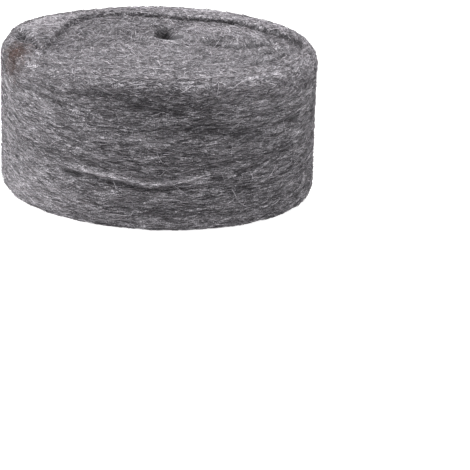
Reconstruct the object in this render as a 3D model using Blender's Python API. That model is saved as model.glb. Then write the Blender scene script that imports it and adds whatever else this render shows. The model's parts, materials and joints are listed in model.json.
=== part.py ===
"""A roll of steel wool: one ribbon of felted steel fibres, wound on itself and stood on end.

Metres, +Z up. The origin is at the centre of the flat underside. -Y is the front of the roll,
-X the side where the ribbon's tail is tucked in. Angles run from +X, anticlockwise from above.
"""

import math

import bmesh
import bpy
import numpy as np

# Driving dimensions
RIBBON_WIDTH = 0.080  # the ribbon stands on its edge, so this is the roll's height
OUTER_RADIUS = 0.088
CORE_CENTRE = (0.0045, 0.0205)  # the winding starts behind the roll's axis
CORE_RADIUS = 0.0080
CORE_DEPTH = 0.016
TURNS = 7.0  # turns from the core out to the rim

# Plan outline: the roll is full at its back left and front right and flatter at its front left,
# as (middle and spread in degrees, bulge)
PLAN_BULGES = ((153, 44, 0.0048), (-42, 42, 0.0020), (-118, 42, -0.0014))

# Section of the outer turn
SHOULDER_IN = 0.0065  # the outer top edge rounds over this far inwards
SHOULDER_DOWN = 0.0090  # and this far down
FOOT_ROUND = 0.0026
FOOT_DRAW_IN = 0.0004  # the side leans in by this at the foot

# The inner turns lie below the outer one: little at the front, more at the back
INNER_SINK = 0.0018
INNER_SINK_BACK = 0.0010  # added at the back, taken off at the front
RIM_WALL = 0.0024  # width of the slope up to the outer turn
RIM_GROOVE_WIDTH = 0.0034

# Depth of the crease at the rim's foot, as (angle in degrees, depth): deepest at the back right
RIM_GROOVES = (
    (-60, 0.0),
    (-10, 0.0),
    (8, 0.0012),
    (22, 0.0026),
    (40, 0.0030),
    (70, 0.0030),
    (95, 0.0016),
    (110, 0.0005),
    (165, 0.0008),
    (205, 0.0),
)

# The rim's width, as (angle in degrees, width): it wanders a little with the winding, and is
# wide at the left, where the tail is folded over
RIM_WIDTHS = (
    (-60, 0.0120),
    (-8, 0.0090),
    (8, 0.0094),
    (18, 0.0120),
    (29, 0.0168),
    (50, 0.0190),
    (66, 0.0240),
    (80, 0.0265),
    (97, 0.0215),
    (112, 0.0165),
    (126, 0.0170),
    (139, 0.0230),
    (158, 0.0310),
    (178, 0.0300),
    (205, 0.0170),
    (250, 0.0120),
)

# Creases in the top
TURN_GROOVE = 0.0008
TURN_GROOVE_WIDTH = 0.16  # as a share of one turn
TUCK_LINE = ((-0.0785, 0.020), (-0.0785, 0.010), (-0.0745, -0.003))
TUCK_DEPTH = 0.0048
TUCK_WIDTH = 0.0048
FOLD_WIDTH = 0.0038
# Each fold is a line of (x, y) points and its depth
FOLDS = (
    (((0.0040, 0.025), (0.0010, 0.042)), 0.0050),
    (((0.027, 0.014), (0.033, 0.004), (0.041, 0.001), (0.050, 0.007), (0.058, 0.012)), 0.0026),
    (((-0.014, 0.012), (-0.010, 0.004), (-0.005, 0.003)), 0.0014),
    (((-0.014, 0.026), (-0.024, 0.028), (-0.035, 0.026)), 0.0010),
    (((0.054, -0.015), (0.060, -0.010), (0.066, -0.004)), 0.0014),
    (((0.046, -0.040), (0.054, -0.030), (0.064, -0.022), (0.070, -0.012)), 0.0012),
    (((-0.0735, 0.002), (-0.0690, -0.006), (-0.0635, -0.022)), 0.0016),
)

# Mesh fineness
ANGLES = 88
FINEST_ANGLE = math.radians(165)  # the columns are closest together at the tuck
CROWDING = 0.6  # 0 spaces them evenly, and nearly 1 puts them all at the finest angle
CORE_RINGS = 3
INNER_RINGS = 21
WALL_RINGS = 3
CREST_RINGS = 3
SHOULDER_RINGS = 5
SIDE_RINGS = 5
FOOT_RINGS = 3
BOTTOM_RINGS = 3


def smooth_step(value):
    """0 below 0, 1 above 1, and an even S between."""
    t = np.clip(value, 0.0, 1.0)
    return t * t * (3.0 - 2.0 * t)


def bell(distance, width):
    """1 at no distance, falling evenly to nearly nothing at twice the width."""
    return np.exp(-((distance / width) ** 2))


def angle_window(angle, middle, spread):
    """1 at the middle angle, falling to 0 at spread to either side."""
    away = np.abs(np.angle(np.exp(1j * (angle - middle))))
    return smooth_step(1.0 - away / spread)


def outline_radius(angle):
    """Plan radius of the outer turn at its widest."""
    radius = OUTER_RADIUS
    for middle, spread, bulge in PLAN_BULGES:
        radius = radius + bulge * angle_window(angle, math.radians(middle), math.radians(spread))
    return radius


def rim_foot_radius(angle):
    """Plan radius of the crease where the outer turn rises from the inner ones."""
    at = [math.radians(degrees) for degrees, _ in RIM_WIDTHS]
    widths = [width for _, width in RIM_WIDTHS]
    return outline_radius(angle) - np.interp(angle, at, widths, period=math.tau)


def rim_groove(angle):
    """Depth of the crease at the rim's foot."""
    at = [math.radians(degrees) for degrees, _ in RIM_GROOVES]
    depths = [depth for _, depth in RIM_GROOVES]
    return np.interp(angle, at, depths, period=math.tau)


def away_from_line(x, y, line):
    """Distance from each point to a line of straight runs."""
    nearest = np.full(np.shape(x), np.inf)
    for (x0, y0), (x1, y1) in zip(line, line[1:]):
        dx, dy = x1 - x0, y1 - y0
        along = np.clip(((x - x0) * dx + (y - y0) * dy) / (dx * dx + dy * dy), 0.0, 1.0)
        nearest = np.minimum(nearest, np.hypot(x - x0 - along * dx, y - y0 - along * dy))
    return nearest


def top_height(x, y, share):
    """Height of the top at (x, y). share is 0 at the core and 1 at the rim's foot."""
    angle = np.arctan2(y, x)
    past_foot = np.hypot(x, y) - rim_foot_radius(angle)
    sink = INNER_SINK + INNER_SINK_BACK * y / OUTER_RADIUS
    height = RIBBON_WIDTH - sink * (1.0 - smooth_step(past_foot / RIM_WALL))
    height = height - rim_groove(angle) * bell(past_foot, RIM_GROOVE_WIDTH)
    # the edges of the turns form a spiral of shallow grooves round the core
    turn = np.mod(TURNS * share - angle / math.tau, 1.0)
    inside = smooth_step(-past_foot / (2 * RIM_GROOVE_WIDTH)) * smooth_step(share * TURNS)
    height = height - TURN_GROOVE * bell(turn - 0.5, TURN_GROOVE_WIDTH) * inside
    for line, depth in FOLDS:
        height = height - depth * bell(away_from_line(x, y, line), FOLD_WIDTH)
    return height - TUCK_DEPTH * bell(away_from_line(x, y, TUCK_LINE), TUCK_WIDTH)


def core_lip(angle):
    """Plan point on the core hole's lip."""
    x = CORE_CENTRE[0] + CORE_RADIUS * np.cos(angle)
    y = CORE_CENTRE[1] + CORE_RADIUS * np.sin(angle)
    return x, y


def inner_ring(angle, share):
    """Ring on the inner turns: share 0 is the core hole's lip, 1 the rim's foot."""
    lip_x, lip_y = core_lip(angle)
    foot = rim_foot_radius(angle)
    x = lip_x + (foot * np.cos(angle) - lip_x) * share
    y = lip_y + (foot * np.sin(angle) - lip_y) * share
    return x, y, top_height(x, y, share)


def rim_ring(angle, radius):
    """Ring on the outer turn's top."""
    x, y = radius * np.cos(angle), radius * np.sin(angle)
    return x, y, top_height(x, y, 1.0)


def wall_ring(angle, share):
    """Ring on the slope from the rim's foot (share 0) to its crest (1)."""
    return rim_ring(angle, rim_foot_radius(angle) + RIM_WALL * share)


def crest_ring(angle, share):
    """Ring on the rim's crest: share 0 at the top of the slope, 1 where the shoulder starts."""
    inner = rim_foot_radius(angle) + RIM_WALL
    return rim_ring(angle, inner + (outline_radius(angle) - SHOULDER_IN - inner) * share)


def core_ring(angle, share):
    """Ring in the core hole: share 0 is on its floor, 1 near its lip."""
    narrow = 0.55 + 0.40 * share
    x = CORE_CENTRE[0] + CORE_RADIUS * narrow * np.cos(angle)
    y = CORE_CENTRE[1] + CORE_RADIUS * narrow * np.sin(angle)
    floor = RIBBON_WIDTH - CORE_DEPTH
    lip = inner_ring(angle, 0.0)[2]
    return x, y, floor + (lip - floor) * 0.9 * share


def shoulder_ring(angle, share):
    """Ring on the rounded outer top edge: share 0 on the top, 1 where the side begins."""
    turn = share * math.pi / 2
    radius = outline_radius(angle) - SHOULDER_IN * (1.0 - math.sin(turn))
    side_top = RIBBON_WIDTH - SHOULDER_DOWN
    height = side_top + (crest_ring(angle, 1.0)[2] - side_top) * math.cos(turn)
    return radius * np.cos(angle), radius * np.sin(angle), height


def side_ring(angle, share):
    """Ring on the side: share 0 under the shoulder, 1 above the foot's rounding."""
    top, bottom = RIBBON_WIDTH - SHOULDER_DOWN, FOOT_ROUND
    radius = outline_radius(angle) - FOOT_DRAW_IN * share**2
    height = np.full(len(angle), top + (bottom - top) * share)
    return radius * np.cos(angle), radius * np.sin(angle), height


def foot_ring(angle, share):
    """Ring on the rounded foot: share 1 is the edge of the flat underside."""
    turn = share * math.pi / 2
    radius = outline_radius(angle) - FOOT_DRAW_IN - FOOT_ROUND * (1.0 - math.cos(turn))
    height = np.full(len(angle), FOOT_ROUND * (1.0 - math.sin(turn)))
    return radius * np.cos(angle), radius * np.sin(angle), height


def bottom_ring(angle, share):
    """Ring on the flat underside: share 0 at its edge, 1 at its centre."""
    radius = (outline_radius(angle) - FOOT_DRAW_IN - FOOT_ROUND) * (1.0 - share)
    return radius * np.cos(angle), radius * np.sin(angle), np.zeros(len(angle))


def column_angles():
    """Angles of the mesh's columns, once round."""
    even = np.linspace(0.0, math.tau, ANGLES, endpoint=False)
    return even - CROWDING * np.sin(even - FINEST_ANGLE)


def roll_rings(angle):
    """Every ring, from the core hole's floor over the top and side to the underside."""
    stretches = (
        (core_ring, CORE_RINGS),
        (inner_ring, INNER_RINGS),
        (wall_ring, WALL_RINGS),
        (crest_ring, CREST_RINGS),
        (shoulder_ring, SHOULDER_RINGS),
        (side_ring, SIDE_RINGS),
        (foot_ring, FOOT_RINGS),
        (bottom_ring, BOTTOM_RINGS),
    )
    rings = []
    for ring, count in stretches:
        rings += [np.stack(ring(angle, step / count), axis=1) for step in range(count)]
    return rings


def plan_centre(rings):
    """Middle of the rings' plan box."""
    points = np.concatenate(rings)[:, :2]
    return (points.min(axis=0) + points.max(axis=0)) / 2


def close_with_fan(bm, centre, ring):
    """Closes a ring with triangles to one point."""
    middle = bm.verts.new(centre)
    for first, second in zip(ring, ring[1:] + ring[:1]):
        bm.faces.new((middle, first, second))


def build_roll():
    """The whole ribbon as one closed solid, its plan box centred on the origin."""
    rings = roll_rings(column_angles())
    shift_x, shift_y = plan_centre(rings)
    bm = bmesh.new()
    loops = [[bm.verts.new((x - shift_x, y - shift_y, z)) for x, y, z in ring] for ring in rings]
    for upper, lower in zip(loops, loops[1:]):
        for a, b, c, d in zip(upper, upper[1:] + upper[:1], lower[1:] + lower[:1], lower):
            bm.faces.new((a, d, c, b))
    core_floor = (CORE_CENTRE[0] - shift_x, CORE_CENTRE[1] - shift_y, RIBBON_WIDTH - CORE_DEPTH)
    close_with_fan(bm, core_floor, loops[0])
    close_with_fan(bm, (-shift_x, -shift_y, 0.0), loops[-1])
    bmesh.ops.recalc_face_normals(bm, faces=bm.faces)
    mesh = bpy.data.meshes.new("wool_roll")
    bm.to_mesh(mesh)
    bm.free()
    mesh.shade_smooth()
    roll = bpy.data.objects.new("wool_roll", mesh)
    bpy.context.scene.collection.objects.link(roll)
    return roll


def steel_wool():
    """Dull grey steel fibres."""
    material = bpy.data.materials.new("steel_wool")
    material.use_nodes = True
    shader = material.node_tree.nodes["Principled BSDF"]
    shader.inputs["Base Color"].default_value = (0.23, 0.22, 0.24, 1.0)
    shader.inputs["Roughness"].default_value = 0.55
    shader.inputs["Metallic"].default_value = 0.6
    return material


def main():
    for obj in list(bpy.data.objects):
        bpy.data.objects.remove(obj)
    roll = build_roll()
    roll.data.materials.append(steel_wool())


main()
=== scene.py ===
"""Looks of a steel wool roll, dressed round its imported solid.

Metres, +Z up, -Y to the front. The roll is one ribbon of felted steel fibres wound on itself.
Its body is one closed skin with the folds of the winding, felted by a node tree. Its fibres
are real strands, which another node tree lays along the winding and sweeps.
"""

import json
import logging
import math
from dataclasses import dataclass, field
from enum import Enum
from typing import Any, Callable, Sequence

import bpy
import numpy as np
from mathutils import Matrix, Vector

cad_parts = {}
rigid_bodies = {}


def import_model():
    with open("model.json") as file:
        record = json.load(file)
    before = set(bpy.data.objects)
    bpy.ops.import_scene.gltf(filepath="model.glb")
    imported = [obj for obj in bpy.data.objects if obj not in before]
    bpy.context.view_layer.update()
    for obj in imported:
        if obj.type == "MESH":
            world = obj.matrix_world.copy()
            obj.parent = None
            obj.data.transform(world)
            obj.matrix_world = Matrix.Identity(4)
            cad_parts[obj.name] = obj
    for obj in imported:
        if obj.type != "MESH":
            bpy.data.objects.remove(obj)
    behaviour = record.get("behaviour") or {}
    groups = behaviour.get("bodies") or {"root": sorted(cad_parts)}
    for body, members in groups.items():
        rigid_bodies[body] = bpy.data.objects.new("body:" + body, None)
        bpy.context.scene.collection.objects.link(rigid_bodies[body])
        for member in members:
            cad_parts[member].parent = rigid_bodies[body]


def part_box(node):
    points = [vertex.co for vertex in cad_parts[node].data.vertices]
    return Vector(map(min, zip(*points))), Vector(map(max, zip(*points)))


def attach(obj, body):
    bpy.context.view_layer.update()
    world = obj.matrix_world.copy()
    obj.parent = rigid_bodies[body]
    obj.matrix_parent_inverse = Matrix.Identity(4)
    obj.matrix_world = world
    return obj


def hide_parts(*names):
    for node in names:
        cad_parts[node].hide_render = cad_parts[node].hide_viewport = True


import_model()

LOG = logging.getLogger("wool_roll")
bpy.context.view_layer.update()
ROLL_NODE = "wool_roll"
BODY_NAME = "root"
BAKE_MAP = "OFBake"
WRAP_MAP = "Wrap"

Array = np.ndarray
Line = tuple[tuple[float, float], ...]


class Stretch(Enum):
    """The stretches of the roll's section, from the core hole to the underside."""

    CORE = "core"
    INNER = "inner"
    WALL = "wall"
    CREST = "crest"
    SHOULDER = "shoulder"
    SIDE = "side"
    FOOT = "foot"
    UNDERSIDE = "underside"


def add_object(name: str, data: Any) -> bpy.types.Object:
    """Makes an object of some data and puts it in the scene."""
    made = bpy.data.objects.new(name, data)
    bpy.context.scene.collection.objects.link(made)
    return made


# ------------ Node trees as expressions


def operator(operation: str, reflected: bool = False) -> Callable[["Wire", Any], "Wire"]:
    """Makes an arithmetic method of a wire.

    Args:
        operation: The Math node's operation.
        reflected: Whether the wire is the second operand.

    Returns:
        The method.
    """

    def apply(wire: "Wire", other: Any) -> "Wire":
        """The wire and the other operand, put through a Math node."""
        return wire.maths(operation, other, reflected=reflected)

    return apply


class Wire:
    """One output socket, on which arithmetic adds Math nodes."""

    def __init__(self, graph: "Graph", socket: bpy.types.NodeSocket) -> None:
        """Wraps a socket.

        Args:
            graph: The graph that the socket's node is in.
            socket: An output socket.
        """
        self.graph = graph
        self.socket = socket

    def maths(self, operation: str, *others: Any, reflected: bool = False) -> "Wire":
        """Adds a Math node.

        Args:
            operation: The node's operation.
            others: The other operands, wires or numbers.
            reflected: Whether this wire is the second operand.

        Returns:
            The result.
        """
        operands = [*others, self] if reflected else [self, *others]
        sockets = dict(enumerate(operands))
        return self.graph.wire("ShaderNodeMath", {"operation": operation}, sockets)

    __add__ = operator("ADD")
    __radd__ = operator("ADD", reflected=True)
    __sub__ = operator("SUBTRACT")
    __rsub__ = operator("SUBTRACT", reflected=True)
    __mul__ = operator("MULTIPLY")
    __truediv__ = operator("DIVIDE")
    __pow__ = operator("POWER")

    def clipped(self, low: Any, high: Any) -> "Wire":
        """self, held between low and high."""
        return self.maths("MAXIMUM", low).maths("MINIMUM", high)

    def smooth(self, low: float, high: float) -> "Wire":
        """0 below low, 1 above high, and an even S between."""
        settings = {"interpolation_type": "SMOOTHSTEP"}
        sockets = {"Value": self, "From Min": low, "From Max": high}
        return self.graph.wire("ShaderNodeMapRange", settings, sockets)


class Graph:
    """A node tree that nodes are added to by type, settings and socket values."""

    def __init__(self, tree: bpy.types.NodeTree) -> None:
        """Wraps a tree.

        Args:
            tree: A shader or geometry node tree.
        """
        self.tree = tree

    def node(
        self,
        kind: str,
        settings: dict[str, Any] | None = None,
        sockets: dict[Any, Any] | None = None,
    ) -> bpy.types.Node:
        """Adds a node.

        Args:
            kind: The node's type.
            settings: Its properties, set before its sockets.
            sockets: Values or wires for its inputs, by name or number.

        Returns:
            The node.
        """
        made = self.tree.nodes.new(kind)
        for name, value in (settings or {}).items():
            setattr(made, name, value)
        for key, value in (sockets or {}).items():
            socket = self.pick(made.inputs, key)
            if isinstance(value, Wire):
                self.tree.links.new(value.socket, socket)
            else:
                socket.default_value = value
        return made

    def wire(
        self,
        kind: str,
        settings: dict[str, Any] | None = None,
        sockets: dict[Any, Any] | None = None,
        output: Any = None,
    ) -> Wire:
        """Adds a node and wraps one of its outputs.

        Args:
            kind: The node's type.
            settings: Its properties.
            sockets: Values or wires for its inputs.
            output: The output's name, or nothing for the first that is in use.

        Returns:
            The output.
        """
        made = self.node(kind, settings, sockets)
        if output is None:
            return Wire(self, next(s for s in made.outputs if s.enabled))
        return Wire(self, self.pick(made.outputs, output))

    @staticmethod
    def pick(sockets: Sequence[bpy.types.NodeSocket], key: Any) -> bpy.types.NodeSocket:
        """The socket in use of that name, or the socket of that number."""
        if isinstance(key, int):
            return sockets[key]
        return next(s for s in sockets if s.enabled and s.name == key)

    def vector(self, operation: str, *operands: Any) -> Wire:
        """Adds a Vector Math node.

        Args:
            operation: The node's operation.
            operands: Wires or triples, in order. For SCALE the second is a number.

        Returns:
            The result.
        """
        keys = (0, "Scale") if operation == "SCALE" else range(len(operands))
        sockets = dict(zip(keys, operands))
        return self.wire("ShaderNodeVectorMath", {"operation": operation}, sockets)

    def point(self, x: Any, y: Any, z: Any) -> Wire:
        """A vector of three numbers."""
        return self.wire("ShaderNodeCombineXYZ", None, {0: x, 1: y, 2: z})

    def parts(self, vector: Wire) -> tuple[Wire, Wire, Wire]:
        """The three numbers of a vector."""
        made = self.node("ShaderNodeSeparateXYZ", None, {0: vector})
        return tuple(Wire(self, made.outputs[i]) for i in range(3))

    def noise(self, at: Wire, scale: Any = 1.0, detail: float = 2.0, roughness: float = 0.5) -> Wire:
        """Smooth noise about 0.5.

        Args:
            at: Where it is read.
            scale: How many lumps there are to one unit.
            detail: How many finer layers it has.
            roughness: How strong each finer layer is.

        Returns:
            The noise.
        """
        sockets = {"Vector": at, "Scale": scale, "Detail": detail, "Roughness": roughness}
        return self.wire("ShaderNodeTexNoise", None, sockets)


class ModifierTree(Graph):
    """A geometry node tree with named inputs, run once on a mesh."""

    def __init__(self, name: str) -> None:
        """Starts a tree that takes and gives geometry.

        Args:
            name: The tree's name.
        """
        super().__init__(bpy.data.node_groups.new(name, "GeometryNodeTree"))
        self.tree.interface.new_socket("Geometry", in_out="INPUT", socket_type="NodeSocketGeometry")
        self.tree.interface.new_socket("Geometry", in_out="OUTPUT", socket_type="NodeSocketGeometry")
        self.source = self.tree.nodes.new("NodeGroupInput")
        self.ids: dict[str, str] = {}

    def geometry(self) -> Wire:
        """The geometry that comes in."""
        return Wire(self, self.source.outputs["Geometry"])

    def input(self, name: str, kind: str = "Float") -> Wire:
        """Adds a named input.

        Args:
            name: The input's name.
            kind: Its socket type, without the prefix.

        Returns:
            The input.
        """
        made = self.tree.interface.new_socket(
            name, in_out="INPUT", socket_type="NodeSocket" + kind
        )
        self.ids[name] = made.identifier
        return Wire(self, next(s for s in self.source.outputs if s.identifier == made.identifier))

    def attribute(self, name: str, kind: str = "FLOAT") -> Wire:
        """A named attribute of the geometry."""
        return self.wire("GeometryNodeInputNamedAttribute", {"data_type": kind}, {"Name": name})

    def store(self, geometry: Wire, name: str, value: Wire, kind: str, domain: str) -> Wire:
        """Adds a Store Named Attribute node.

        Args:
            geometry: What it is stored on.
            name: The attribute's name.
            value: Its value.
            kind: Its data type.
            domain: Its domain.

        Returns:
            The geometry with it.
        """
        settings = {"data_type": kind, "domain": domain}
        sockets = {"Geometry": geometry, "Name": name, "Value": value}
        return self.wire("GeometryNodeStoreNamedAttribute", settings, sockets)

    def end(self, geometry: Wire, material: Wire) -> None:
        """Ends the tree with real geometry that wears the material."""
        real = self.wire("GeometryNodeRealizeInstances", None, {"Geometry": geometry})
        dressed = self.wire("GeometryNodeSetMaterial", None, {"Geometry": real, "Material": material})
        sink = self.tree.nodes.new("NodeGroupOutput")
        self.tree.links.new(dressed.socket, sink.inputs["Geometry"])

    def run(self, obj: bpy.types.Object, values: dict[str, Any]) -> None:
        """Replaces an object's mesh by what the tree makes of it.

        Args:
            obj: The object.
            values: The tree's inputs by name.
        """
        modifier = obj.modifiers.new(self.tree.name, "NODES")
        modifier.node_group = self.tree
        for name, value in values.items():
            modifier[self.ids[name]] = value
        depsgraph = bpy.context.evaluated_depsgraph_get()
        made = bpy.data.meshes.new_from_object(obj.evaluated_get(depsgraph), depsgraph=depsgraph)
        old = obj.data
        obj.modifiers.remove(modifier)
        obj.data = made
        bpy.data.meshes.remove(old)
        made.name = obj.name


# ------------ The roll's form


def smooth_step(value: Array) -> Array:
    """0 below 0, 1 above 1, and an even S between."""
    t = np.clip(value, 0.0, 1.0)
    return t * t * (3.0 - 2.0 * t)


def bell(distance: Array, width: float) -> Array:
    """1 at no distance, falling evenly to nearly nothing at twice the width."""
    return np.exp(-((distance / width) ** 2))


def turned_from(angle: Array, middle: float) -> Array:
    """Signed angle from the middle one, in radians."""
    return np.angle(np.exp(1j * (angle - middle)))


def angle_window(angle: Array, middle: float, spread: float) -> Array:
    """1 at the middle angle, falling to 0 at spread to either side."""
    return smooth_step(1.0 - np.abs(turned_from(angle, middle)) / spread)


def on_line(x: Array, y: Array, line: Line, width: float, fade: float = 0.3) -> Array:
    """1 on a line of straight runs, falling to 0 beside it and towards its two ends.

    Args:
        x: Places.
        y: Places.
        line: The line's points.
        width: How wide the fall to either side is.
        fade: How much of the line fades at each end.

    Returns:
        A share for each place.
    """
    whole = sum(math.dist(start, end) for start, end in zip(line, line[1:]))
    nearest = np.full(np.shape(x), np.inf)
    passed = np.zeros(np.shape(x))
    before = 0.0
    for start, end in zip(line, line[1:]):
        length = math.dist(start, end)
        dx, dy = (end[0] - start[0]) / length, (end[1] - start[1]) / length
        along = np.clip((x - start[0]) * dx + (y - start[1]) * dy, 0.0, length)
        away = np.hypot(x - start[0] - along * dx, y - start[1] - along * dy)
        passed = np.where(away < nearest, (before + along) / whole, passed)
        nearest = np.minimum(nearest, away)
        before += length
    ends = smooth_step(passed / fade) * smooth_step((1.0 - passed) / fade)
    return bell(nearest, width) * ends


@dataclass(frozen=True)
class Fold:
    """A crease in the top, or a ridge if its depth is negative."""

    line: Line
    depth: float
    width: float = 0.0030

    def sink(self, x: Array, y: Array) -> Array:
        """How far it lowers the top at each point."""
        return self.depth * on_line(x, y, self.line, self.width)


@dataclass(frozen=True)
class Tuft:
    """A long lens on the side where the felt stands out, or is hollow if its rise is negative.

    The line is of (degrees from the front towards the right, height) points.
    """

    line: Line
    rise: float
    thickness: float = 0.0022

    def swell(self, angle: Array, height: Array, radius: float) -> Array:
        """How far it lifts the side at each point."""
        across = turned_from(angle, -math.pi / 2) * radius
        line = tuple((math.radians(turn) * radius, z) for turn, z in self.line)
        return self.rise * on_line(across, height, line, self.thickness)


@dataclass
class RollForm:
    """The roll's skin, before it is felted: rings of points from the core hole to the underside.

    Sizes are in metres. Angles are anticlockwise from +X, in degrees where they are listed here
    and in radians elsewhere. The tones and shares paint light and shade into the colour: they say
    how much lighter or darker a place is drawn.
    """

    height: float
    radius: float
    columns: int = 500
    core: tuple[float, float] = (0.0045, 0.0205)
    core_radius: float = 0.0090
    core_depth: float = 0.016
    core_floor: float = 0.55
    core_curve: float = 0.6
    turns: float = 7.0
    bulges: tuple[tuple[float, float, float], ...] = (
        (155, 42, 0.0043), (-42, 42, 0.0020), (-118, 42, -0.0014),
    )
    shoulder_in: float = 0.0065
    shoulder_down: float = 0.0090
    foot_round: float = 0.0025
    foot_draw_in: float = -0.0006
    felt: float = 0.0012
    sink: float = 0.0018
    sink_back: float = 0.0006
    wall: float = 0.0024
    groove_width: float = 0.0017
    groove_depths: Line = (
        (-60, 0.0), (-10, 0.0), (8, 0.0018), (22, 0.0040), (40, 0.0048), (70, 0.0046),
        (95, 0.0022), (106, 0.0002), (165, 0.0008), (185, 0.0004), (205, 0.0),
    )
    turn_groove: float = 0.0006
    turn_groove_width: float = 0.14
    rim_widths: Line = (
        (-60, 0.0120), (-8, 0.0088), (8, 0.0092), (18, 0.0120), (29, 0.0168), (50, 0.0190),
        (66, 0.0240), (80, 0.0265), (97, 0.0215), (112, 0.0165), (126, 0.0170), (139, 0.0230),
        (158, 0.0310), (178, 0.0300), (205, 0.0170), (250, 0.0120),
    )
    hollow_painted_shade: float = -0.50
    deepest: float = 0.0028
    core_share: float = 1.15
    core_fade: float = 0.2
    groove_share: float = 1.1
    fold_share: float = 0.65
    ridge_share: float = -0.3
    rim_painted_light: float = 0.20
    rim_light_rise: float = 0.004
    rim_light_back: float = 0.04
    tuft_painted_light_and_shade: float = 0.17
    tuft_whole: float = 0.0014
    tuft_fade: float = 8.0
    foot_painted_light: float = 0.13
    foot_light_height: float = 0.018
    foot_light_end: float = 0.10
    right_painted_light: float = 0.10
    right_light_width: float = 0.06
    right_light_low: float = 0.058
    right_light_rise: float = 0.012
    folds: tuple[Fold, ...] = (
        Fold(((0.0045, 0.012), (0.0005, 0.046)), 0.0085, 0.0040),
        Fold(((0.0130, 0.015), (0.0190, 0.012)), 0.0030, 0.0026),
        Fold(((-0.0780, 0.026), (-0.0785, 0.010), (-0.0725, -0.009)), 0.0062, 0.0032),
        Fold(((-0.0770, 0.004), (-0.0700, -0.010), (-0.0615, -0.030)), 0.0028, 0.0019),
        Fold(((-0.0715, 0.017), (-0.0655, -0.002)), -0.0009, 0.0022),
        Fold(((0.022, 0.020), (0.032, 0.005), (0.047, 0.001)), 0.0040, 0.0054),
        Fold(((0.030, 0.001), (0.048, 0.004), (0.066, 0.014)), 0.0056, 0.0046),
        Fold(((-0.016, 0.016), (-0.010, 0.004), (-0.002, 0.002)), 0.0022),
        Fold(((-0.010, 0.025), (-0.024, 0.028), (-0.039, 0.025)), 0.0014),
        Fold(((0.050, -0.019), (0.060, -0.010), (0.069, 0.001)), 0.0034, 0.0024),
        Fold(((0.041, -0.047), (0.054, -0.031), (0.064, -0.022), (0.072, -0.006)), 0.0030, 0.0024),
        Fold(((0.006, 0.040), (0.034, 0.031), (0.060, 0.029)), -0.0013, 0.0075),
        Fold(((-0.010, 0.050), (0.012, 0.052)), -0.0006, 0.0060),
    )
    tufts: tuple[Tuft, ...] = (
        Tuft(((-62, 0.066), (-44, 0.064), (-33, 0.062)), -0.0016, 0.0026),
        Tuft(((-17, 0.068), (0, 0.0665), (18, 0.069)), -0.0016, 0.0026),
        Tuft(((2, 0.059), (20, 0.055), (42, 0.049)), -0.0016, 0.0032),
        Tuft(((-42, 0.031), (-14, 0.029), (-4, 0.026), (8, 0.028), (26, 0.035)), 0.0021, 0.0014),
        Tuft(((-46, 0.028), (-14, 0.0250), (-4, 0.0222), (14, 0.0250)), -0.0018, 0.0013),
        Tuft(((-30, 0.047), (-8, 0.050), (6, 0.047)), 0.0008, 0.0022),
        Tuft(((-20, 0.011), (4, 0.012), (14, 0.010)), -0.0009, 0.0022),
        Tuft(((20, 0.020), (44, 0.024)), -0.0009, 0.0022),
        Tuft(((40, 0.055), (62, 0.051)), -0.0008, 0.0022),
        Tuft(((-84, 0.070), (-72, 0.067)), -0.0018, 0.0022),
    )
    rings: dict[Stretch, int] = field(
        default_factory=lambda: dict(zip(Stretch, (8, 54, 4, 14, 10, 58, 5, 12)))
    )
    shift: Vector = field(init=False, default_factory=Vector)

    def outline(self, angle: Array) -> Array:
        """Plan radius of the outer turn at its widest."""
        radius = self.radius - self.felt
        for middle, spread, bulge in self.bulges:
            radius = radius + bulge * angle_window(angle, math.radians(middle), math.radians(spread))
        return radius

    def rim_foot(self, angle: Array) -> Array:
        """Plan radius of the crease where the outer turn rises from the inner ones."""
        at = [math.radians(degrees) for degrees, _ in self.rim_widths]
        widths = [width for _, width in self.rim_widths]
        return self.outline(angle) - np.interp(angle, at, widths, period=math.tau)

    def groove(self, angle: Array) -> Array:
        """Depth of the crease at the rim's foot."""
        at = [math.radians(degrees) for degrees, _ in self.groove_depths]
        depths = [depth for _, depth in self.groove_depths]
        return np.interp(angle, at, depths, period=math.tau)

    def top(self, x: Array, y: Array, share: Array | float) -> Array:
        """Height of the top.

        Args:
            x: Plan places.
            y: Plan places.
            share: 0 at the core, 1 at the rim's foot.

        Returns:
            The heights.
        """
        angle = np.arctan2(y, x)
        past = np.hypot(x, y) - self.rim_foot(angle)
        sink = self.sink + self.sink_back * y / self.radius
        z = self.height - sink * (1.0 - smooth_step(past / self.wall))
        z = z - self.groove(angle) * bell(past, self.groove_width)
        turn = np.mod(self.turns * share - angle / math.tau, 1.0)
        inside = smooth_step(-past / (2 * self.groove_width)) * smooth_step(share * self.turns)
        z = z - self.turn_groove * bell(turn - 0.5, self.turn_groove_width) * inside
        for fold in self.folds:
            z = z - fold.sink(x, y)
        return z

    def ring(self, stretch: Stretch, angle: Array, share: float) -> Array:
        """One ring of points.

        Args:
            stretch: The stretch of the section that it is on.
            angle: The columns' angles.
            share: 0 at the stretch's start and 1 at its end.

        Returns:
            The points, one row each.
        """
        shapes: dict[Stretch, Callable[[Array, float], tuple[Array, Array]]] = {
            Stretch.WALL: self.wall_section,
            Stretch.CREST: self.crest_section,
            Stretch.SHOULDER: self.shoulder_section,
            Stretch.SIDE: self.side_section,
            Stretch.FOOT: self.foot_section,
            Stretch.UNDERSIDE: self.underside_section,
        }
        if stretch is Stretch.CORE:
            return self.core_ring(angle, share)
        if stretch is Stretch.INNER:
            return self.inner_ring(angle, share)
        radius, z = shapes[stretch](angle, share)
        return np.stack([radius * np.cos(angle), radius * np.sin(angle), z], axis=1)

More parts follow.
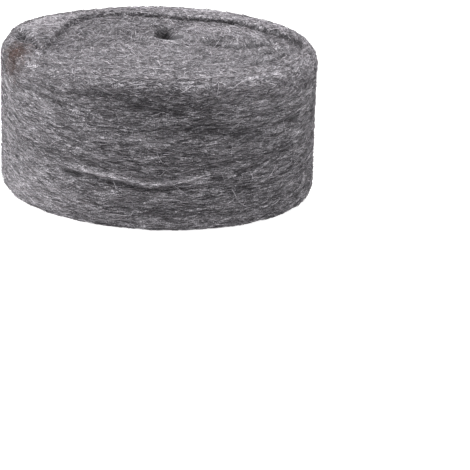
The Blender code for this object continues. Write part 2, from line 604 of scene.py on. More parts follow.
    def inner_ring(self, angle: Array, share: float) -> Array:
        """Ring on the inner turns: share 0 is the core hole's lip, 1 the rim's foot."""
        lip_x = self.core[0] + self.core_radius * np.cos(angle)
        lip_y = self.core[1] + self.core_radius * np.sin(angle)
        foot = self.rim_foot(angle)
        x = lip_x + (foot * np.cos(angle) - lip_x) * share
        y = lip_y + (foot * np.sin(angle) - lip_y) * share
        return np.stack([x, y, self.top(x, y, share)], axis=1)

    def core_ring(self, angle: Array, share: float) -> Array:
        """Ring in the core hole: share 0 is on its floor, 1 at its lip."""
        narrow = self.core_floor + (1.0 - self.core_floor) * share
        lip = self.inner_ring(angle, 0.0)
        floor = self.height - self.core_depth
        x = self.core[0] + (lip[:, 0] - self.core[0]) * narrow
        y = self.core[1] + (lip[:, 1] - self.core[1]) * narrow
        z = floor + (lip[:, 2] - floor) * share**self.core_curve
        return np.stack([x, y, z], axis=1)

    def wall_section(self, angle: Array, share: float) -> tuple[Array, Array]:
        """Radius and height on the slope up to the outer turn."""
        radius = self.rim_foot(angle) + self.wall * share
        return radius, self.top(radius * np.cos(angle), radius * np.sin(angle), 1.0)

    def crest_section(self, angle: Array, share: float) -> tuple[Array, Array]:
        """Radius and height on the outer turn's top."""
        inner = self.rim_foot(angle) + self.wall
        radius = inner + (self.outline(angle) - self.shoulder_in - inner) * share
        return radius, self.top(radius * np.cos(angle), radius * np.sin(angle), 1.0)

    def shoulder_section(self, angle: Array, share: float) -> tuple[Array, Array]:
        """Radius and height on the rounded outer top edge."""
        turn = share * math.pi / 2
        radius = self.outline(angle) - self.shoulder_in * (1.0 - math.sin(turn))
        low = self.height - self.shoulder_down
        return radius, low + (self.crest_section(angle, 1.0)[1] - low) * math.cos(turn)

    def side_section(self, angle: Array, share: float) -> tuple[Array, Array]:
        """Radius and height on the side, with its tufts."""
        low, high = self.foot_round, self.height - self.shoulder_down
        z = np.full(len(angle), high + (low - high) * share)
        radius = self.outline(angle) - self.foot_draw_in * share**2
        fade = smooth_step(self.tuft_fade * share) * smooth_step(self.tuft_fade * (1.0 - share))
        for tuft in self.tufts:
            radius = radius + tuft.swell(angle, z, self.radius) * fade
        return radius, z

    def foot_section(self, angle: Array, share: float) -> tuple[Array, Array]:
        """Radius and height on the rounded foot."""
        turn = share * math.pi / 2
        draw_in = self.foot_draw_in + self.foot_round * (1.0 - math.cos(turn))
        radius = self.outline(angle) - draw_in
        return radius, np.full(len(angle), self.foot_round * (1.0 - math.sin(turn)))

    def underside_section(self, angle: Array, share: float) -> tuple[Array, Array]:
        """Radius and height on the flat underside."""
        radius = (self.outline(angle) - self.foot_draw_in - self.foot_round) * (1.0 - share)
        return radius, np.zeros(len(angle))

    def shade(self, stretch: Stretch, ring: Array, share: float) -> Array:
        """Painted light and shade: how much lighter the skin is drawn than the rest. Hollows, creases
        and the core hole get painted shade, as less light gets in there; ridges, the back of the rim,
        the side near the floor and the right shoulder get painted light.

        Args:
            stretch: The stretch that the ring is on.
            ring: The ring's points.
            share: 0 at the stretch's start and 1 at its end.

        Returns:
            What is added to the tone at each point.
        """
        x, y, z = ring.T
        angle = np.arctan2(y, x)
        # Painted light: the right of the roll is drawn lighter on its shoulder and on the top of its
        # side.
        painted_right_light = self.right_painted_light * smooth_step(x / self.right_light_width)
        # Painted shade: the core hole is drawn darker, most of all towards its floor.
        if stretch is Stretch.CORE:
            dark = self.core_share * self.hollow_painted_shade * (1.0 - self.core_fade * share)
            return np.full(len(ring), dark)
        if stretch in (Stretch.INNER, Stretch.WALL, Stretch.CREST):
            past = np.hypot(x, y) - self.rim_foot(angle)
            # Painted shade in the groove at the rim's foot and in the folds; the ridges get painted
            # light.
            sink = self.groove_share * self.groove(angle) * bell(past, self.groove_width)
            sink = sink + self.fold_share * sum(fold.sink(x, y) for fold in self.folds)
            # Painted light: the top of the outer turn is drawn lighter towards the back.
            back = smooth_step(y / self.rim_light_back)
            lit = self.rim_painted_light * smooth_step(past / self.rim_light_rise) * back
            return lit + self.hollow_painted_shade * np.clip(sink / self.deepest, self.ridge_share, 1.0)
        if stretch is Stretch.SIDE:
            # Painted light and shade: where a tuft stands out the side is drawn lighter, where it is
            # hollow darker.
            swell = sum(tuft.swell(angle, z, self.radius) for tuft in self.tufts)
            # Painted light: the side is drawn lighter near the floor, most of all on the left, fading
            # out to the right.
            left = smooth_step(0.5 - x / self.foot_light_end)
            foot = self.foot_painted_light * bell(z, self.foot_light_height) * left
            # On the side, this painted light grows from the given height up to the shoulder.
            painted_right_light = painted_right_light * smooth_step((z - self.right_light_low) / self.right_light_rise)
            return self.tuft_painted_light_and_shade * swell / self.tuft_whole + foot + painted_right_light
        if stretch is Stretch.SHOULDER:
            return painted_right_light
        return np.zeros(len(ring))

    def skin(self) -> tuple[list[Array], list[Stretch], list[Array]]:
        """Lays out the whole skin, centred on the origin in plan.

        Returns:
            The rings in order, each ring's stretch, and the painted light and shade of its points.
        """
        angle = np.linspace(0.0, math.tau, self.columns, endpoint=False)
        found, names, shades = [], [], []
        for stretch in Stretch:
            count = self.rings[stretch]
            for share in np.arange(count) / count:
                found.append(self.ring(stretch, angle, share))
                shades.append(self.shade(stretch, found[-1], share))
                names.append(stretch)
        points = np.concatenate(found)[:, :2]
        middle = (points.min(axis=0) + points.max(axis=0)) / 2
        self.shift = Vector((-middle[0], -middle[1], 0.0))
        return [ring + np.array(self.shift) for ring in found], names, shades


# ------------ Finishes


@dataclass(frozen=True)
class SteelWoolFinish:
    """Dull grey steel fibres, lighter and darker by their tone, brown where they rusted. The tone
    holds painted light and shade besides the fibres' own, and its palest end stands partly for
    painted glints.

    The fine and the broad streaks have how many there are to a metre along the winding and
    across it. The heights and tones are of the fine streaks, the broad ones and the speckle.
    """

    name: str
    dark: tuple[float, float, float] = (0.055, 0.052, 0.058)
    # The palest steel, which the few palest fibres take: partly their own colour, partly painted
    # glints.
    pale: tuple[float, float, float] = (0.72, 0.69, 0.735)
    rust: tuple[float, float, float] = (0.165, 0.082, 0.062)
    metallic: float = 0.40
    roughness: float = 0.56
    grain: float = 0.0
    rusted_dark: float = 0.2
    waver: tuple[float, float] = (60.0, 0.006)
    fine: tuple[float, float] = (420.0, 2000.0)
    broad: tuple[float, float] = (160.0, 900.0)
    speckle: float = 1500.0
    grain_heights: tuple[float, float, float] = (0.5, 0.3, 0.2)
    grain_tones: tuple[float, float, float] = (3.0, 1.0, 3.6)
    bump_strength: float = 0.9
    bump_distance: float = 0.0006

    def material(self) -> bpy.types.Material:
        """Builds the material.

        Returns:
            A material that reads the attributes tone, stain and along_section.
        """
        made = bpy.data.materials.new(self.name)
        made.use_nodes = True
        graph = Graph(made.node_tree)
        shader = made.node_tree.nodes["Principled BSDF"]
        tone = self.read(graph, "tone")
        stain = self.read(graph, "stain")
        if self.grain:
            tone = tone + self.streaks(graph, shader) * self.grain
        # Squared, the tone keeps most fibres dark and makes a few very pale: partly their own tone,
        # partly painted glints.
        tone = tone.clipped(0.0, 1.0) ** 2.0
        steel = self.mix(graph, tone, self.dark, self.pale)
        rusted = self.mix(graph, tone, tuple(self.rusted_dark * c for c in self.rust), self.rust)
        colour = self.mix(graph, stain.clipped(0.0, 1.0), steel, rusted)
        graph.tree.links.new(colour.socket, shader.inputs["Base Color"])
        shader.inputs["Metallic"].default_value = self.metallic
        shader.inputs["Roughness"].default_value = self.roughness
        return made

    def streaks(self, graph: Graph, shader: bpy.types.Node) -> Wire:
        """Fine streaks along the winding, also as bumps.

        Args:
            graph: The material's graph.
            shader: The node that gets the bumps.

        Returns:
            The streaks, about 0.
        """
        place = graph.wire("ShaderNodeTexCoord", output="Object")
        x, y, _ = graph.parts(place)
        section = self.read(graph, "along_section")
        waver_scale, waver_reach = self.waver
        across = section + (graph.noise(place, waver_scale, 1.0) - 0.5) * waver_reach
        grains = [
            graph.noise(graph.point(x * run, y * run, across * rise), 1.0, 2.0, roughness)
            for (run, rise), roughness in ((self.fine, 0.7), (self.broad, 0.6))
        ]
        grains.append(graph.noise(place, self.speckle, 1.0, 0.7))
        fine, broad, speckle = (g * share for g, share in zip(grains, self.grain_heights))
        sockets = {
            "Strength": self.bump_strength,
            "Distance": self.bump_distance,
            "Height": fine + broad + speckle,
        }
        bump = graph.wire("ShaderNodeBump", None, sockets)
        graph.tree.links.new(bump.socket, shader.inputs["Normal"])
        fine, broad, speckle = ((g - 0.5) * share for g, share in zip(grains, self.grain_tones))
        return fine + broad + speckle

    @staticmethod
    def read(graph: Graph, name: str) -> Wire:
        """A number that the mesh holds."""
        return graph.wire("ShaderNodeAttribute", {"attribute_name": name}, output="Fac")

    @staticmethod
    def mix(graph: Graph, factor: Wire, low: Any, high: Any) -> Wire:
        """A colour between two, which are wires or triples."""
        ends = [c if isinstance(c, Wire) else (*c, 1.0) for c in (low, high)]
        sockets = {"Factor": factor, "A": ends[0], "B": ends[1]}
        return graph.wire("ShaderNodeMix", {"data_type": "RGBA"}, sockets)


@dataclass(frozen=True)
class FloorFinish:
    """Plain pale floor."""

    colour: tuple[float, float, float] = (0.45, 0.45, 0.45)
    roughness: float = 0.9
    glow: float = 0.88

    def material(self) -> bpy.types.Material:
        """Builds the material."""
        made = bpy.data.materials.new("studio_floor")
        made.use_nodes = True
        shader = made.node_tree.nodes["Principled BSDF"]
        shader.inputs["Base Color"].default_value = (*self.colour, 1.0)
        shader.inputs["Roughness"].default_value = self.roughness
        shader.inputs["Specular IOR Level"].default_value = 0.0
        shader.inputs["Emission Color"].default_value = (1.0, 1.0, 1.0, 1.0)
        shader.inputs["Emission Strength"].default_value = self.glow
        return made


# ------------ The body


@dataclass(frozen=True)
class BakeSheet:
    """Sizes of the flat layout that the skin is baked on, before it is scaled to fit."""

    disc: float = 0.240
    pitch: float = 0.250
    strips: int = 4
    gap: float = 0.004
    strip_pitch: float = 0.125
    strip_height: float = 0.115
    edge: float = 0.01
    margin: float = 0.008


SHEET = BakeSheet()
FELT_NUMBERS = tuple(
    f"{kind} {size}" for kind in ("Lump", "Streak") for size in ("Height", "Length", "Width")
)


@dataclass
class WoolBody:
    """The roll's closed skin: its form, felted with lumps and streaks along the winding."""

    form: RollForm
    core_freedom: float = 0.5
    foot_freedom: float = 0.25
    lump_height: float = 0.0008
    lump_length: float = 0.024
    lump_width: float = 0.0036
    streak_height: float = 0.0007
    streak_length: float = 0.017
    streak_width: float = 0.0014
    rust_centre: tuple[float, float, float] = (-0.0780, -0.027, 0.0765)
    rust_reach: tuple[float, float, float] = (0.0090, 0.0200, 0.0110)
    rust_grain: float = 420.0
    rust_ragged: float = 3.0
    rust_edge: tuple[float, float] = (1.4, 1.5)
    waver_scale: float = 28.0
    waver_reach: float = 0.012
    plain_tone: float = 0.41
    lump_tone: float = 0.20
    streak_tone: float = 0.52
    calm_heights: tuple[float, float] = (0.071, 0.079)
    calm: float = 0.65
    section: Array = field(init=False)
    names: list[Stretch] = field(init=False)

    def build(self, material: bpy.types.Material) -> bpy.types.Object:
        """Builds the felted body.

        Args:
            material: Its material.

        Returns:
            The object, with the attributes and maps that the fibres are laid by.
        """
        body = self.plain_skin()
        values = {name: getattr(self, name.lower().replace(" ", "_")) for name in FELT_NUMBERS}
        values["Rust Centre"] = tuple(Vector(self.rust_centre) + self.form.shift)
        values["Rust Reach"] = self.rust_reach
        values["Material"] = material
        self.felt_tree().run(body, values)
        return body

    def plain_skin(self) -> bpy.types.Object:
        """The form as a closed mesh, with its attributes and maps."""
        rings, self.names, shades = self.form.skin()
        columns = self.form.columns
        steps = [np.linalg.norm(b - a, axis=1).mean() for a, b in zip(rings, rings[1:])]
        section = self.section = np.concatenate([[0.0], np.cumsum(steps)])
        around = [np.linalg.norm(np.roll(r, -1, axis=0) - r, axis=1).sum() for r in rings]
        free = [self.freedom(stretch, i) for i, stretch in enumerate(self.names)]
        grid = np.arange(len(rings) * columns).reshape(len(rings), columns)
        after = np.roll(grid, -1, axis=1)
        quads = np.stack([grid[:-1], grid[1:], after[1:], after[:-1]], axis=-1).reshape(-1, 4)
        poles = np.stack([rings[0].mean(axis=0), np.array(self.form.shift)])
        points = np.concatenate([*rings, poles])
        fans = [
            *[(len(points) - 2, a, b) for a, b in zip(grid[0], after[0])],
            *[(len(points) - 1, b, a) for a, b in zip(grid[-1], after[-1])],
        ]
        mesh = bpy.data.meshes.new("wool_body")
        mesh.from_pydata(points.tolist(), [], [*quads.tolist(), *fans])
        mesh.shade_smooth()
        values = {
            "along_section": [np.repeat(section, columns), section[:1], section[-1:]],
            "turn_length": [np.repeat(around, columns), around[:1], around[-1:]],
            "free": [np.repeat(free, columns), [0.0, 0.0]],
            "shade": [*shades, shades[0][:1], shades[-1][:1]],
        }
        for name, rows in values.items():
            layer = mesh.attributes.new(name, "FLOAT", "POINT")
            layer.data.foreach_set("value", np.concatenate(rows).astype(np.float32))
        self.wrap(mesh)
        return add_object("wool_body", mesh)

    def reach(self, stretch: Stretch, share: float) -> float:
        """Place on the Wrap map's second axis of a share of a stretch."""
        ring = self.names.index(stretch) + round(share * self.form.rings[stretch])
        return float(self.section[ring] / self.section[-1])

    def freedom(self, stretch: Stretch, ring: int) -> float:
        """How far the felt may stand off the form: 0 on the underside and deep in the core."""
        if stretch is Stretch.UNDERSIDE:
            return 0.0
        if stretch is Stretch.CORE:
            return self.core_freedom * ring / self.form.rings[Stretch.CORE]
        if stretch is Stretch.FOOT:
            return self.foot_freedom
        return 1.0

    @staticmethod
    def whole_numbers(items: Any, name: str) -> Array:
        """One whole number of each item of a mesh's collection."""
        found = np.empty(len(items), np.int32)
        items.foreach_get(name, found)
        return found

    def wrap(self, mesh: bpy.types.Mesh) -> None:
        """Gives the plain skin its two maps.

        Wrap is 0 to 1 round the roll and 0 to 1 along its section. The bake's map lays the
        top and the underside out as discs, and the side as strips over them.

        Args:
            mesh: The plain skin.
        """
        section = self.section
        columns = self.form.columns
        corner = self.whole_numbers(mesh.loops, "vertex_index")
        starts = self.whole_numbers(mesh.polygons, "loop_start")
        totals = self.whole_numbers(mesh.polygons, "loop_total")
        face = np.repeat(np.arange(len(starts)), totals)
        pole = corner >= len(section) * columns
        ring = np.where(pole, 0, corner // columns)
        column = np.where(pole, -1, corner % columns).astype(float)
        first = np.where(column < 0, columns, column)
        least = np.minimum.reduceat(first, starts)[face]
        most = np.maximum.reduceat(np.where(column < 0, -1, column), starts)[face]
        crosses = (most - least) > columns / 2
        column = np.where(crosses & (column < columns / 2), column + columns, column)
        column = np.where(pole, np.where(crosses, columns - 0.5, least + 0.5), column)
        top_pole = corner == len(section) * columns
        along = np.where(pole, np.where(top_pole, section[0], section[-1]), section[ring])
        u, v = column / columns, along / section[-1]
        layer = mesh.uv_layers.new(name=WRAP_MAP)
        layer.uv.foreach_set("vector", np.stack([u, v], axis=1).astype(np.float32).ravel())
        self.lay_flat(mesh, u, along, face, starts)

    def lay_flat(
        self, mesh: bpy.types.Mesh, u: Array, along: Array, face: Array, starts: Array
    ) -> None:
        """Lays the skin out flat for the bake.

        Args:
            mesh: The plain skin.
            u: Each corner's place round the roll.
            along: Each corner's place along the section, in metres.
            face: Each corner's face.
            starts: Each face's first corner.
        """
        section, names, sheet = self.section, self.names, SHEET
        top_end = section[names.index(Stretch.SHOULDER) + self.form.rings[Stretch.SHOULDER] // 2]
        side_end = section[names.index(Stretch.UNDERSIDE)]
        corners = np.diff([*starts, len(along)])
        middle = (np.add.reduceat(along, starts) / corners)[face]
        face_u = (np.add.reduceat(u, starts) / corners)[face]
        strip = np.clip(np.floor(face_u * sheet.strips), 0, sheet.strips - 1)
        half = sheet.disc / 2
        turn = u * math.tau
        on_top = along / top_end * half
        under = (section[-1] - along) / (section[-1] - side_end) * half
        x_top, y_top = half + on_top * np.cos(turn), half + on_top * np.sin(turn)
        x_low, y_low = sheet.pitch + half + under * np.cos(turn), half + under * np.sin(turn)
        width = (sheet.pitch + sheet.disc) / 2
        strip_share = u * sheet.strips - strip
        x_side = (strip % 2) * (width + sheet.gap) + strip_share * (width - 2 * sheet.gap)
        rise = (along - top_end) / (side_end - top_end)
        y_side = sheet.pitch + (strip // 2) * sheet.strip_pitch + rise * sheet.strip_height
        is_top, is_low = middle < top_end, middle > side_end
        x = np.where(is_top, x_top, np.where(is_low, x_low, x_side))
        y = np.where(is_top, y_top, np.where(is_low, y_low, y_side))
        laid = np.stack([x, y], axis=1) / (sheet.pitch + sheet.disc + sheet.edge) + sheet.margin
        layer = mesh.uv_layers.new(name=BAKE_MAP)
        layer.uv.foreach_set("vector", laid.astype(np.float32).ravel())

    def felt_tree(self) -> ModifierTree:
        """The tree that felts the skin and gives it its tone, with its painted light and shade, and
        its stain.
        """
        tree = ModifierTree("felting")
        lump_height, lump_length, lump_width, streak_height, streak_length, streak_width = (
            tree.input(name) for name in FELT_NUMBERS
        )
        rust_centre = tree.input("Rust Centre", "Vector")
        rust_reach = tree.input("Rust Reach", "Vector")
        material = tree.input("Material", "Material")
        place = tree.wire("GeometryNodeInputPosition")
        normal = tree.wire("GeometryNodeInputNormal")
        section = tree.attribute("along_section")
        free = tree.attribute("free")
        x, y, z = tree.parts(place)
        across = section + (tree.noise(place, self.waver_scale, 1.0) - 0.5) * self.waver_reach
        lump_at = tree.point(x / lump_length, y / lump_length, across / lump_width)
        lumps = tree.noise(lump_at, 1.0, 2.0, 0.45)
        streak_at = tree.point(x / streak_length + 7.0, y / streak_length, across / streak_width)
        streaks = tree.noise(streak_at, 1.0, 2.0, 0.55)
        lift = (lumps - 0.5) * lump_height + (streaks - 0.5) * streak_height
        offset = tree.vector("SCALE", normal, lift * free)
        moved = tree.wire(
            "GeometryNodeSetPosition", None, {"Geometry": tree.geometry(), "Offset": offset}
        )
        layered = 1.0 - z.smooth(*self.calm_heights) * self.calm
        felted = (lumps - 0.5) * self.lump_tone + (streaks - 0.5) * layered * self.streak_tone
        # The shade attribute adds the form's painted light and shade to the tone.
        tone = self.plain_tone + tree.attribute("shade") + felted
        toned = tree.store(moved, "tone", tone, "FLOAT", "POINT")
        away = tree.vector("DIVIDE", tree.vector("SUBTRACT", place, rust_centre), rust_reach)
        far = tree.wire("ShaderNodeVectorMath", {"operation": "LENGTH"}, {0: away}, output="Value")
        ragged = (tree.noise(place, self.rust_grain, 2.0, 0.7) - 0.5) * self.rust_ragged
        reach, soft = self.rust_edge
        stain = (reach - far + ragged).smooth(0.0, soft)
        stained = tree.store(toned, "stain", stain, "FLOAT", "POINT")
        tree.end(stained, material)
        return tree


# ------------ The fibres


@dataclass(frozen=True)
class FibreLayer:
    """Strands laid on one band of the body, along the winding."""

    name: str
    count: int
    start: tuple[Stretch, float]
    end: tuple[Stretch, float]
    seed: int
    evenness: float = 1.0
    length: float = 0.0084
    thickness: float = 0.00027
    spread: float = 0.13
    lift: float = 0.0002
    loft: float = 0.0008
    wander: float = 0.0008
    tone: float = 0.0


@dataclass(frozen=True)
class StrandHabit:
    """What the strands of every layer have in common. Pairs are least and most."""

    points: int = 4
    sides: int = 3
    lengths: tuple[float, float] = (0.45, 1.45)
    waves: tuple[float, float] = (1.5, 4.5)
    sways: tuple[float, float] = (0.2, 1.0)
    bends: tuple[float, float] = (-0.35, 0.35)
    thicknesses: tuple[float, float] = (0.6, 1.4)
    end_thickness: float = 0.35
    end_sink: float = 0.3
    end_power: float = 4.0
    own_tone: float = 0.26
    patch_tone_and_glint: float = 0.34
    stains: tuple[float, float] = (-0.25, 0.25)
    map_range: tuple[float, float] = (0.002, 0.998)
    least_height: float = 0.0003
    map_margin: float = 0.03
    map_step: float = 0.006
    map_slant: float = 0.7


LAYER_NUMBERS = ("Evenness", "Length", "Thickness", "Spread", "Lift", "Loft", "Wander", "Tone")


class LayingTree(ModifierTree):
    """The tree that lays strands on the body, along the winding, and sweeps them."""

    def __init__(self, section_length: float, habit: StrandHabit) -> None:
        """Builds the tree.

        Args:
            section_length: Length of the body's section, in metres.
            habit: What all strands have in common.
        """
        super().__init__("fibre_laying")
        self.section_length = section_length
        self.habit = habit
        source, count = self.input("Body", "Object"), self.input("Count", "Int")
        self.lowest, self.highest = self.input("Lowest"), self.input("Highest")
        self.numbers = {name: self.input(name) for name in LAYER_NUMBERS}
        self.seed = self.input("Seed", "Int")
        material = self.input("Material", "Material")
        self.body = self.wire("GeometryNodeObjectInfo", None, {"Object": source}, output="Geometry")
        run = self.wire("GeometryNodeCurvePrimitiveLine", None, {"End": (1.0, 0.0, 0.0)})
        run = self.wire("GeometryNodeResampleCurve", None, {"Curve": run, "Count": habit.points})
        copies = self.node(
            "GeometryNodeDuplicateElements", {"domain": "SPLINE"}, {"Geometry": run, "Amount": count}
        )
        self.number = Wire(self, copies.outputs["Duplicate Index"])
        self.share = self.wire("GeometryNodeSplineParameter", output="Factor")
        self.ends = 1.0 - ((self.share - 0.5).maths("ABSOLUTE") * 2.0) ** habit.end_power
        at = self.path()
        laid = self.lay(Wire(self, copies.outputs["Geometry"]), at)
        self.sweep(self.dress(laid, at), material)

    def random(self, low: float, high: float, salt: int, number: Wire) -> Wire:
        """Adds a Random Value node.

        Args:
            low: The least value.
            high: The most.
            salt: Its own share of the seed.
            number: What it draws one value each for.

        Returns:
            The random number.
        """
        sockets = {"Min": low, "Max": high, "ID": number, "Seed": self.seed * 31 + salt}
        return self.wire("FunctionNodeRandomValue", {"data_type": "FLOAT"}, sockets)

    def chance(self, low: float, high: float, salt: int) -> Wire:
        """A random number for each strand."""
        return self.random(low, high, salt, self.number)

    def on_body(self, value: Wire, kind: str, at: Wire) -> Wire:
        """A value of the body at a place on its Wrap map."""
        wrap = self.attribute(WRAP_MAP, "FLOAT_VECTOR")
        sockets = {"Mesh": self.body, "Value": value, "UV Map": wrap, "Sample UV": at}
        settings = {"data_type": kind}
        return self.wire("GeometryNodeSampleUVSurface", settings, sockets, output="Value")

    def path(self) -> Wire:
        """Where on the Wrap map each point of a strand lies: along the winding, a little aslant."""
        numbers, habit = self.numbers, self.habit
        evened = self.chance(0.0, 1.0, 2) ** numbers["Evenness"]
        round_start = self.chance(0.0, 1.0, 1)
        section_start = evened * (self.highest - self.lowest) + self.lowest
        root = self.point(round_start, section_start, 0.0)
        turn_length = self.on_body(self.attribute("turn_length"), "FLOAT", root)
        three = self.chance(-1.0, 1.0, 3) + self.chance(-1.0, 1.0, 4) + self.chance(-1.0, 1.0, 5)
        slant = three * numbers["Spread"]
        own_length = numbers["Length"] * self.chance(*habit.lengths, 6)
        along = (self.share - 0.5) * own_length
        swing = self.share * self.chance(*habit.waves, 8) + self.chance(0.0, math.tau, 7)
        sway = swing.maths("SINE") * numbers["Wander"] * self.chance(*habit.sways, 9)
        bow = (self.share - 0.5).maths("POWER", 2.0) * own_length * self.chance(*habit.bends, 10)
        ahead = along * slant.maths("COSINE") / turn_length
        up = (along * slant.maths("SINE") + sway + bow) / self.section_length
        v = (section_start + up).clipped(*habit.map_range)
        return self.point((round_start + ahead).maths("FRACT"), v, 0.0)

    def lay(self, strands: Wire, at: Wire) -> Wire:
        """Sets the strands on the body, with their ends sunk in and nothing under the floor."""
        numbers, habit = self.numbers, self.habit
        place = self.on_body(self.wire("GeometryNodeInputPosition"), "FLOAT_VECTOR", at)
        normal = self.on_body(self.wire("GeometryNodeInputNormal"), "FLOAT_VECTOR", at)
        loft = numbers["Loft"] * self.chance(0.0, 1.0, 11) * self.chance(0.0, 1.0, 12)
        arch = self.ends * (1.0 + habit.end_sink) - habit.end_sink
        height = (numbers["Lift"] + loft) * arch
        x, y, z = self.parts(self.vector("ADD", place, self.vector("SCALE", normal, height)))
        kept = self.point(x, y, z.maths("MAXIMUM", habit.least_height))
        sockets = {"Geometry": strands, "Position": kept}
        return self.wire("GeometryNodeSetPosition", None, sockets)

    def dress(self, strands: Wire, at: Wire) -> Wire:
        """Gives the strands the body's tone, with its painted light and shade, and its stain, each
        with some of its own.
        """
        habit = self.habit
        own = self.chance(-1.0, 1.0, 14) + self.chance(-1.0, 1.0, 15) * self.chance(0.0, 1.0, 18)
        # Each point of a strand gets its own tone too: partly random, partly dashes of painted glint
        # along the strand.
        point_tone_and_glint = self.random(-1.0, 1.0, 19, self.wire("GeometryNodeInputIndex"))
        own = own * habit.own_tone + point_tone_and_glint * habit.patch_tone_and_glint
        tone = self.on_body(self.attribute("tone"), "FLOAT", at) + own + self.numbers["Tone"]
        stain = self.on_body(self.attribute("stain"), "FLOAT", at)
        stain = stain + self.chance(*habit.stains, 16)
        for name, value in (("tone", tone), ("stain", stain)):
            strands = self.store(strands, name, value.clipped(0.0, 1.0), "FLOAT", "POINT")
        return strands

    def sweep(self, strands: Wire, material: Wire) -> None:
        """Ends the tree with the swept strands.

        On their bake map a strand lies at its tone and its stain.

        Args:
            strands: The strands as curves.
            material: Their material.
        """
        habit = self.habit
        slim = habit.end_thickness + self.ends * (1.0 - habit.end_thickness)
        radius = self.numbers["Thickness"] * 0.5 * self.chance(*habit.thicknesses, 13) * slim
        section = self.wire(
            "GeometryNodeCurvePrimitiveCircle", None, {"Resolution": habit.sides, "Radius": 1.0}
        )
        sockets = {"Curve": strands, "Profile Curve": section, "Scale": radius, "Fill Caps": True}
        swept = self.wire("GeometryNodeCurveToMesh", None, sockets)
        swept = self.wire("GeometryNodeSetShadeSmooth", None, {"Geometry": swept})
        number = self.wire("GeometryNodeInputIndex")
        beside = (number.maths("MODULO", 3.0) - 1.0) * habit.map_step
        inner = 1 - 2 * habit.map_margin
        u = self.attribute("tone") * inner + habit.map_margin + beside
        v = self.attribute("stain") * inner + habit.map_margin + beside * habit.map_slant
        mapped = self.store(swept, BAKE_MAP, self.point(u, v, 0.0), "FLOAT2", "CORNER")
        self.end(mapped, material)


@dataclass
class FibreCover:
    """Every layer of strands on the body, all laid by one tree."""

    wool: WoolBody
    body: bpy.types.Object
    material: bpy.types.Material
    layers: tuple[FibreLayer, ...]

    def build(self) -> list[bpy.types.Object]:
        """Builds one piece for each layer."""
        tree = LayingTree(float(self.wool.section[-1]), StrandHabit())
        made = []
        for layer in self.layers:
            piece = add_object(layer.name, bpy.data.meshes.new(layer.name))
            values = {name: getattr(layer, name.lower()) for name in LAYER_NUMBERS}
            values["Body"] = self.body
            values["Count"] = layer.count
            values["Lowest"] = self.wool.reach(*layer.start)
            values["Highest"] = self.wool.reach(*layer.end)
            values["Seed"] = layer.seed
            values["Material"] = self.material
            tree.run(piece, values)
            LOG.info("%s: %d strands, %d faces", layer.name, layer.count, len(piece.data.polygons))
            made.append(piece)
        return made


# ------------ The studio


@dataclass(frozen=True)
class SoftBox:
    """A square area light that faces a point."""

    name: str
    place: tuple[float, float, float]
    size: float
    watts: float

    def build(self, target: Vector) -> None:
        """Adds the light, facing the target."""
        data = bpy.data.lights.new(self.name, "AREA")
        data.shape = "SQUARE"
        data.size = self.size
        data.energy = self.watts
        light = add_object(self.name, data)
        light.location = self.place
        light.rotation_mode = "QUATERNION"
        light.rotation_quaternion = (target - Vector(self.place)).to_track_quat("-Z", "Y")


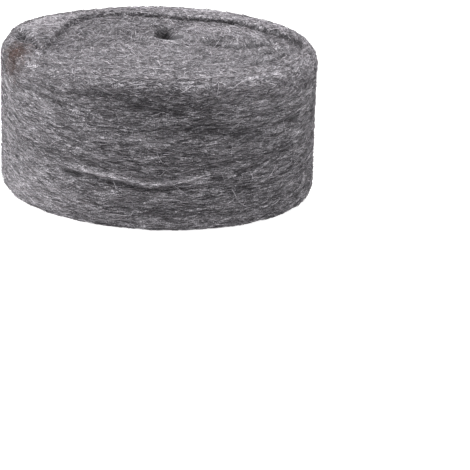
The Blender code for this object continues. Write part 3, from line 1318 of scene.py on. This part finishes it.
@dataclass
class Studio:
    """A pale floor, soft lights and the camera."""

    centre: Vector
    floor_size: float = 12.0
    ambient: float = 0.27
    backdrop: float = 1.0
    boxes: tuple[SoftBox, ...] = (
        SoftBox("key_light", (-2.0, 0.2, 1.0), 1.2, 62.0),
        SoftBox("top_light", (0.35, 0.3, 2.2), 1.8, 78.0),
        SoftBox("right_light", (1.5, 0.1, 1.5), 1.0, 5.0),
    )
    distance: float = 0.967
    camera_height: float = 0.332
    lens: float = 137.0
    sensor: float = 36.0
    turn_right: float = math.radians(2.541)
    turn_down: float = math.radians(3.923)
    tilt: float = math.radians(1.2)

    def build(self) -> None:
        """Builds the floor, the world, the lights and the camera."""
        self.build_floor()
        self.build_world()
        for box in self.boxes:
            box.build(self.centre)
        self.build_camera()
        view = bpy.context.scene.view_settings
        view.view_transform = "Standard"
        view.look = "None"

    def build_floor(self) -> None:
        """Adds the floor."""
        half = self.floor_size / 2
        mesh = bpy.data.meshes.new("floor")
        corners = [(-half, -half, 0), (half, -half, 0), (half, half, 0), (-half, half, 0)]
        mesh.from_pydata(corners, [], [(0, 1, 2, 3)])
        mesh.materials.append(FloorFinish().material())
        add_object("floor", mesh)

    def build_world(self) -> None:
        """Adds an even sky: pale where it is seen, dim as a light."""
        world = bpy.data.worlds.new("studio")
        bpy.context.scene.world = world
        world.use_nodes = True
        graph = Graph(world.node_tree)
        seen = graph.wire("ShaderNodeLightPath", output="Is Camera Ray")
        strength = seen * (self.backdrop - self.ambient) + self.ambient
        sky = world.node_tree.nodes["Background"]
        sky.inputs["Color"].default_value = (1.0, 1.0, 1.0, 1.0)
        graph.tree.links.new(strength.socket, sky.inputs["Strength"])

    def build_camera(self) -> None:
        """Adds the camera: it turns right and down from the roll's middle, and tilts a little."""
        data = bpy.data.cameras.new("camera")
        data.lens = self.lens
        data.sensor_width = self.sensor
        camera = add_object("camera", data)
        place = Vector((self.centre.x, -self.distance, self.camera_height))
        ahead = (Vector((self.centre.x, 0.0, self.centre.z)) - place).normalized()
        right = Vector((1.0, 0.0, 0.0))
        above = right.cross(ahead)
        aim = ahead + right * math.tan(self.turn_right) - above * math.tan(self.turn_down)
        camera.location = place
        camera.rotation_mode = "QUATERNION"
        toward = aim.normalized()
        side = toward.cross(above).normalized()
        up = side.cross(toward)
        across = side * math.cos(self.tilt) + up * math.sin(self.tilt)
        upward = up * math.cos(self.tilt) - side * math.sin(self.tilt)
        turned = Matrix((across, upward, -toward)).transposed()
        camera.rotation_quaternion = turned.to_quaternion()
        bpy.context.scene.camera = camera


# ------------ Making


def fibre_layers(thin: bool) -> tuple[FibreLayer, ...]:
    """The layers of strands.

    Args:
        thin: Whether to lay a fifth of them, for a trial.

    Returns:
        The layers.
    """
    share = 0.2 if thin else 1.0
    lip, crest = (Stretch.INNER, 0.0), (Stretch.CREST, 0.6)
    shoulder, middle = (Stretch.SHOULDER, 0.6), (Stretch.SIDE, 0.52)
    edge, foot = (Stretch.SIDE, 0.06), (Stretch.FOOT, 0.9)
    matted = {"spread": 0.8, "length": 0.0045, "evenness": 0.55}
    turning = {"spread": 0.35, "length": 0.0055}
    stray = {"spread": 0.7, "length": 0.010, "thickness": 0.00018, "loft": 0.0030, "tone": 0.25}
    plans = (
        ("fibres_top", 9200, lip, crest, 13, matted),
        ("fibres_rim", 8600, (Stretch.WALL, 0.0), edge, 14, turning),
        ("fibres_side_upper", 9200, shoulder, middle, 11, {}),
        ("fibres_side_lower", 9200, (Stretch.SIDE, 0.48), foot, 12, {}),
        ("fibres_stray", 1900, (Stretch.INNER, 0.1), (Stretch.SIDE, 0.95), 15, stray),
    )
    return tuple(
        FibreLayer(name, int(count * share), start, end, seed, **rest)
        for name, count, start, end, seed, rest in plans
    )


def settle(piece: bpy.types.Object) -> None:
    """Makes a finished piece part of the roll."""
    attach(piece, BODY_NAME)
    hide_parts(ROLL_NODE)


def main() -> None:
    """Builds the roll and the studio."""
    logging.basicConfig(level=logging.INFO, format="%(name)s: %(message)s")
    low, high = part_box(ROLL_NODE)
    form = RollForm(height=high.z, radius=(high.y - low.y) / 2)
    wool = WoolBody(form)
    body = wool.build(SteelWoolFinish("felted_wool", grain=0.5).material())
    LOG.info("wool_body: %d faces", len(body.data.polygons))
    finish = SteelWoolFinish("wool_fibres").material()
    strands = FibreCover(wool, body, finish, fibre_layers(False))
    for piece in (body, *strands.build()):
        settle(piece)
    Studio(Vector((0.0, 0.0, high.z / 2))).build()


if __name__ == "__main__":
    main()
